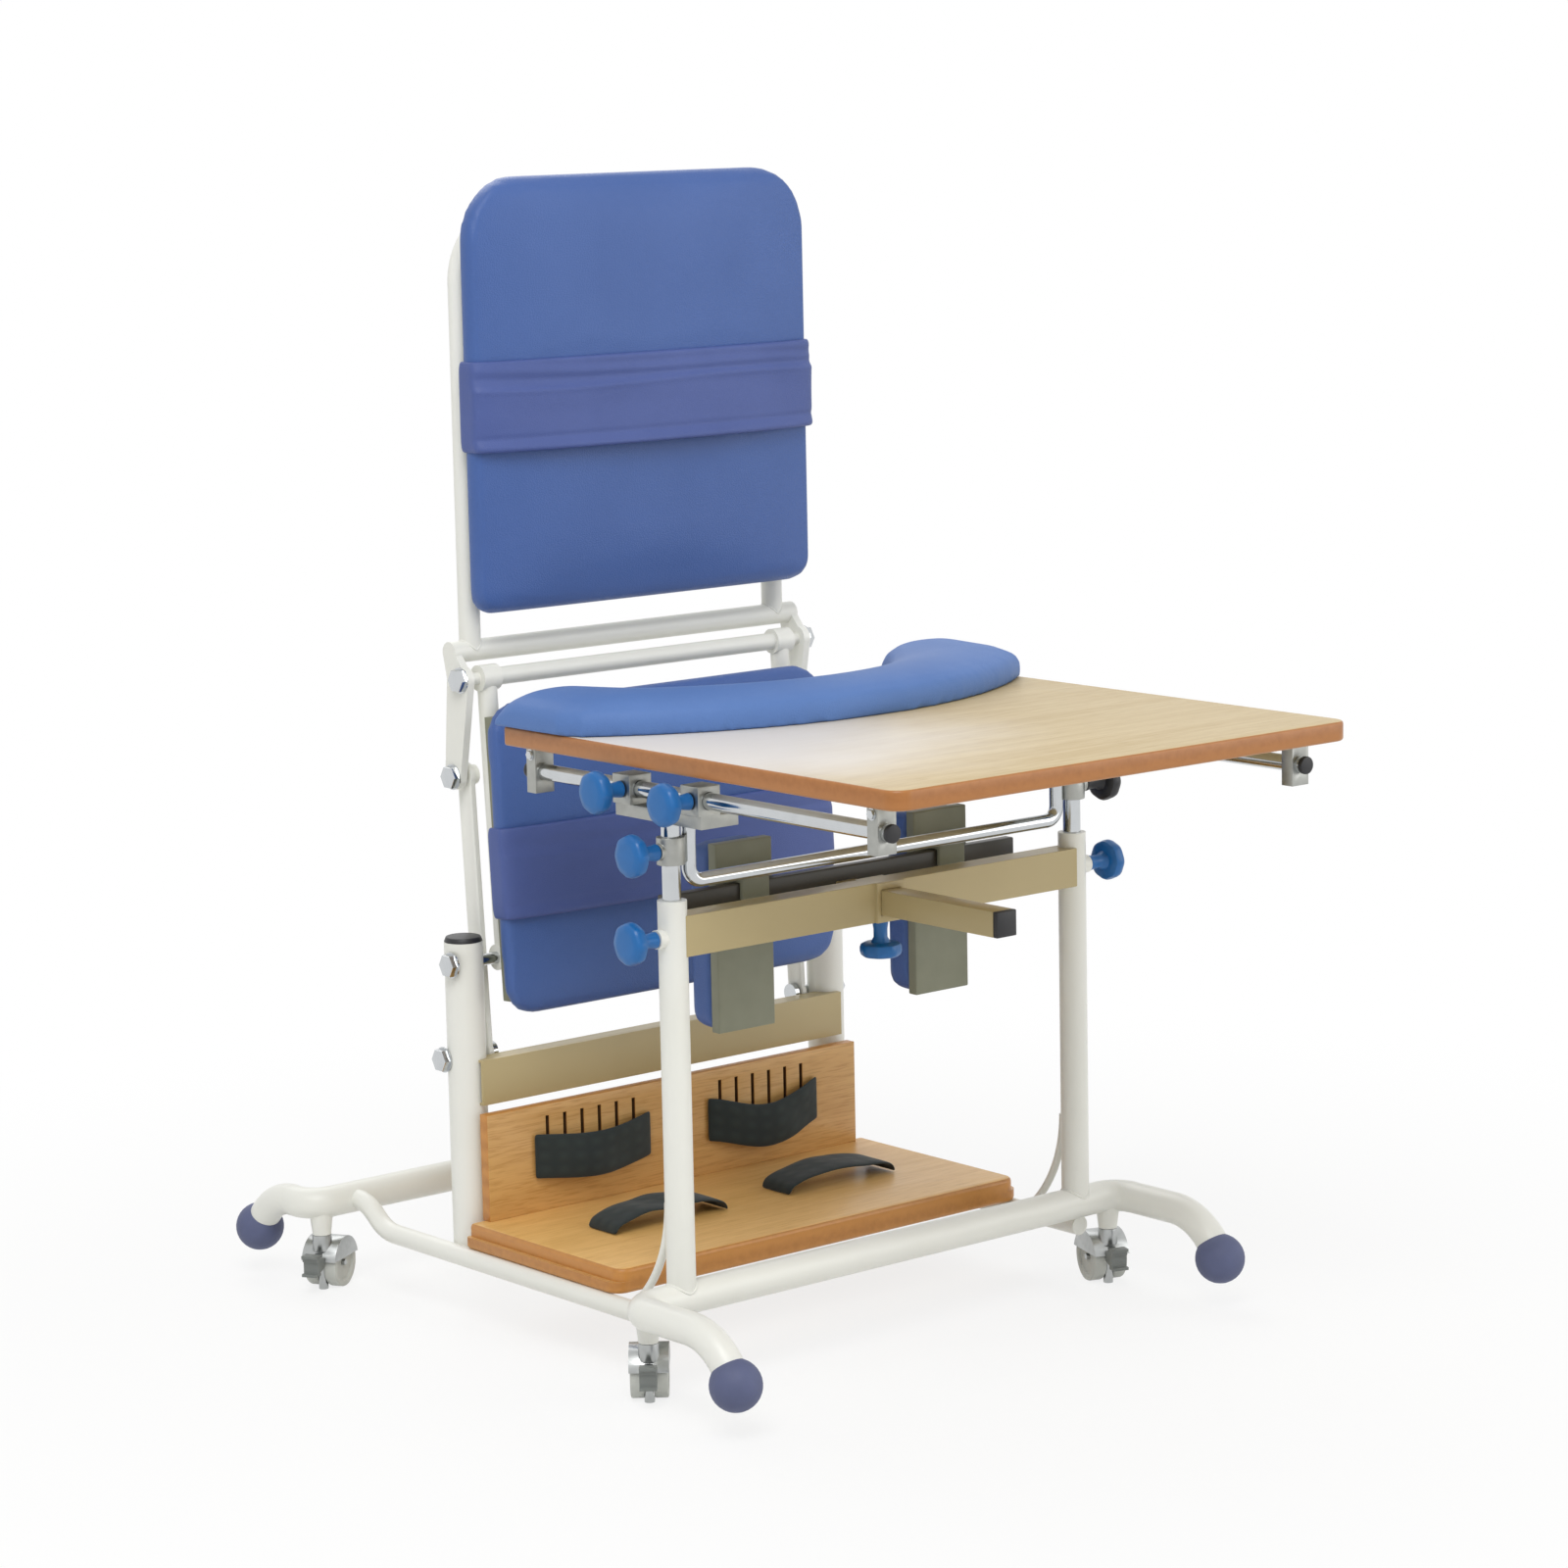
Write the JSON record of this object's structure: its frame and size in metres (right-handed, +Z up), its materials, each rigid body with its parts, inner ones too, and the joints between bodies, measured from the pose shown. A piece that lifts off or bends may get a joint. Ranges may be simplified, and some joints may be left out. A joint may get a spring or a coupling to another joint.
{
  "type": "standing frame",
  "caption": "Wheeled standing frame with outrigger ball feet, padded back and seat on a sit-to-stand linkage, sliding tray with body cut-out, knee supports and a strapped footplate.",
  "frame": {"origin": "middle of the bounding box at floor level", "axes": "+Z up, -Y the front of the frame where the tray reaches out, +X to the right seen from the front"},
  "size_m": [0.676, 1.0159, 1.1366],
  "materials": {
    "paint": "white powder coat",
    "rubber": "matt slate-blue rubber",
    "plug": "moulded",
    "ply": "lacquered",
    "strap": "woven webbing",
    "chrome": "plated",
    "clamp": "satin",
    "board": "grey laminate",
    "bar": "dark paint",
    "vinyl": "upholstery vinyl",
    "webbing": "padded belt",
    "oak": "pale oak with a lacquered edge",
    "fork": "plated",
    "wheel": "grey tread",
    "pedal": "moulded",
    "knob": "moulded",
    "knob_black": "moulded"
  },
  "bodies": {
    "base": {"front_rail": "paint", "rear_rail": "paint", "ball_feet": "rubber", "side_rails": "paint", "rear_posts": "paint", "post_caps": "plug", "rear_cross_bar": "paint", "front_posts": "paint", "front_beam": "paint", "front_braces": "paint", "foot_base": "ply", "foot_board": "ply", "heel_panel": "ply", "foot_straps": "strap", "pivot_pins": "chrome"},
    "seat": {"seat_frame": "paint", "seat_board": "board", "seat_pad": "vinyl", "hip_belt": "webbing"},
    "back": {"back_frame": "paint", "back_levers": "paint", "back_board": "board", "back_pad": "vinyl", "chest_belt": "webbing"},
    "links": {"link_bars": "paint"},
    "column": {"column_frame": "chrome", "column_heads": "clamp"},
    "tray": {"tray_board": "oak", "tray_pad": "vinyl", "slide_tubes": "chrome", "slide_caps": "plug", "tray_hangers": "clamp"},
    "knee": {"knee_arm": "paint", "knee_plug": "plug", "knee_bar": "bar"},
    "knee_left": {"knee_board_l": "board", "knee_pad_l": "vinyl"},
    "knee_right": {"knee_board_r": "board", "knee_pad_r": "vinyl"},
    "fork_fl": {"fork_fl": "fork"},
    "wheels_fl": {"wheels_fl": "wheel"},
    "pedal_fl": {"pedal_fl": "pedal"},
    "fork_fr": {"fork_fr": "fork"},
    "wheels_fr": {"wheels_fr": "wheel"},
    "pedal_fr": {"pedal_fr": "pedal"},
    "fork_rl": {"fork_rl": "fork"},
    "wheels_rl": {"wheels_rl": "wheel"},
    "pedal_rl": {"pedal_rl": "pedal"},
    "fork_rr": {"fork_rr": "fork"},
    "wheels_rr": {"wheels_rr": "wheel"},
    "pedal_rr": {"pedal_rr": "pedal"},
    "knob_post_l": {"knob_post_l": "knob"},
    "knob_post_r": {"knob_post_r": "knob"},
    "knob_head_l": {"knob_head_l": "knob"},
    "knob_head_r": {"knob_head_r": "knob_black"},
    "knob_slide_lf": {"knob_slide_lf": "knob"},
    "knob_slide_lr": {"knob_slide_lr": "knob"},
    "knob_slide_rf": {"knob_slide_rf": "knob"},
    "knob_slide_rr": {"knob_slide_rr": "knob"},
    "knob_knee": {"knob_knee": "knob"}
  },
  "joints": [
    {"name": "seat_tilt", "type": "hinge", "parent": "base", "child": "seat", "pos_m": [0, 0.202, 0.361], "axis": [-1, 0, 0], "range_deg": [0, 80]},
    {"name": "back_level", "type": "hinge", "parent": "seat", "child": "back", "pos_m": [0, 0.219, 0.642], "axis": [-1, 0, 0], "range_deg": [-80, 0]},
    {"name": "link_swing", "type": "hinge", "parent": "base", "child": "links", "pos_m": [0, 0.22, 0.262], "axis": [-1, 0, 0], "range_deg": [0, 80]},
    {"name": "tray_height", "type": "slide", "parent": "base", "child": "column", "axis": [0, 0, 1], "range_m": [-0.006, 0.2]},
    {"name": "tray_depth", "type": "slide", "parent": "column", "child": "tray", "axis": [0, 1, 0], "range_m": [-0.11, 0.03]},
    {"name": "knee_depth", "type": "slide", "parent": "base", "child": "knee", "axis": [0, 1, 0], "range_m": [-0.03, 0.12]},
    {"name": "knee_left_width", "type": "slide", "parent": "knee", "child": "knee_left", "axis": [1, 0, 0], "range_m": [-0.04, 0.04]},
    {"name": "knee_right_width", "type": "slide", "parent": "knee", "child": "knee_right", "axis": [1, 0, 0], "range_m": [-0.04, 0.04]},
    {"name": "swivel_fl", "type": "hinge", "parent": "base", "child": "fork_fl", "pos_m": [-0.299, -0.15718, 0.065], "axis": [0, 0, 1], "continuous": true},
    {"name": "roll_fl", "type": "hinge", "parent": "fork_fl", "child": "wheels_fl", "pos_m": [-0.28871, -0.14493, 0.025], "axis": [0.766, -0.6428, 0], "continuous": true},
    {"name": "brake_fl", "type": "hinge", "parent": "fork_fl", "child": "pedal_fl", "pos_m": [-0.30864, -0.16867, 0.032], "axis": [0.766, -0.6428, 0], "range_deg": [-8, 12]},
    {"name": "swivel_fr", "type": "hinge", "parent": "base", "child": "fork_fr", "pos_m": [0.299, -0.15718, 0.065], "axis": [0, 0, 1], "continuous": true},
    {"name": "roll_fr", "type": "hinge", "parent": "fork_fr", "child": "wheels_fr", "pos_m": [0.30447, -0.14215, 0.025], "axis": [0.9397, -0.342, 0], "continuous": true},
    {"name": "brake_fr", "type": "hinge", "parent": "fork_fr", "child": "pedal_fr", "pos_m": [0.29387, -0.17128, 0.032], "axis": [0.9397, -0.342, 0], "range_deg": [-8, 12]},
    {"name": "swivel_rl", "type": "hinge", "parent": "base", "child": "fork_rl", "pos_m": [-0.299, 0.38818, 0.065], "axis": [0, 0, 1], "continuous": true},
    {"name": "roll_rl", "type": "hinge", "parent": "fork_rl", "child": "wheels_rl", "pos_m": [-0.28514, 0.39618, 0.025], "axis": [0.5, -0.866, 0], "continuous": true},
    {"name": "brake_rl", "type": "hinge", "parent": "fork_rl", "child": "pedal_rl", "pos_m": [-0.31199, 0.38068, 0.032], "axis": [0.5, -0.866, 0], "range_deg": [-8, 12]},
    {"name": "swivel_rr", "type": "hinge", "parent": "base", "child": "fork_rr", "pos_m": [0.299, 0.38818, 0.065], "axis": [0, 0, 1], "continuous": true},
    {"name": "roll_rr", "type": "hinge", "parent": "fork_rr", "child": "wheels_rr", "pos_m": [0.29353, 0.37315, 0.025], "axis": [-0.9397, 0.342, 0], "continuous": true},
    {"name": "brake_rr", "type": "hinge", "parent": "fork_rr", "child": "pedal_rr", "pos_m": [0.30413, 0.40228, 0.032], "axis": [-0.9397, 0.342, 0], "range_deg": [-8, 12]},
    {"name": "turn_post_l", "type": "hinge", "parent": "base", "child": "knob_post_l", "pos_m": [-0.277, -0.155, 0.439], "axis": [-1, 0, 0], "continuous": true},
    {"name": "turn_post_r", "type": "hinge", "parent": "base", "child": "knob_post_r", "pos_m": [0.277, -0.155, 0.439], "axis": [1, 0, 0], "continuous": true},
    {"name": "turn_head_l", "type": "hinge", "parent": "column", "child": "knob_head_l", "pos_m": [-0.273, -0.155, 0.521], "axis": [-1, 0, 0], "continuous": true},
    {"name": "turn_head_r", "type": "hinge", "parent": "column", "child": "knob_head_r", "pos_m": [0.273, -0.155, 0.521], "axis": [1, 0, 0], "continuous": true},
    {"name": "turn_slide_lf", "type": "hinge", "parent": "column", "child": "knob_slide_lf", "pos_m": [-0.274, -0.206, 0.575], "axis": [-1, 0, 0], "continuous": true},
    {"name": "turn_slide_lr", "type": "hinge", "parent": "column", "child": "knob_slide_lr", "pos_m": [-0.274, -0.104, 0.575], "axis": [-1, 0, 0], "continuous": true},
    {"name": "turn_slide_rf", "type": "hinge", "parent": "column", "child": "knob_slide_rf", "pos_m": [0.274, -0.206, 0.575], "axis": [1, 0, 0], "continuous": true},
    {"name": "turn_slide_rr", "type": "hinge", "parent": "column", "child": "knob_slide_rr", "pos_m": [0.274, -0.104, 0.575], "axis": [1, 0, 0], "continuous": true},
    {"name": "turn_knee", "type": "hinge", "parent": "base", "child": "knob_knee", "pos_m": [0, -0.155, 0.4195], "axis": [0, 0, -1], "continuous": true}
  ],
  "couplings": [
    {"joint": "back_level", "follows": "seat_tilt", "ratio": -1},
    {"joint": "link_swing", "follows": "seat_tilt", "ratio": 1}
  ]
}
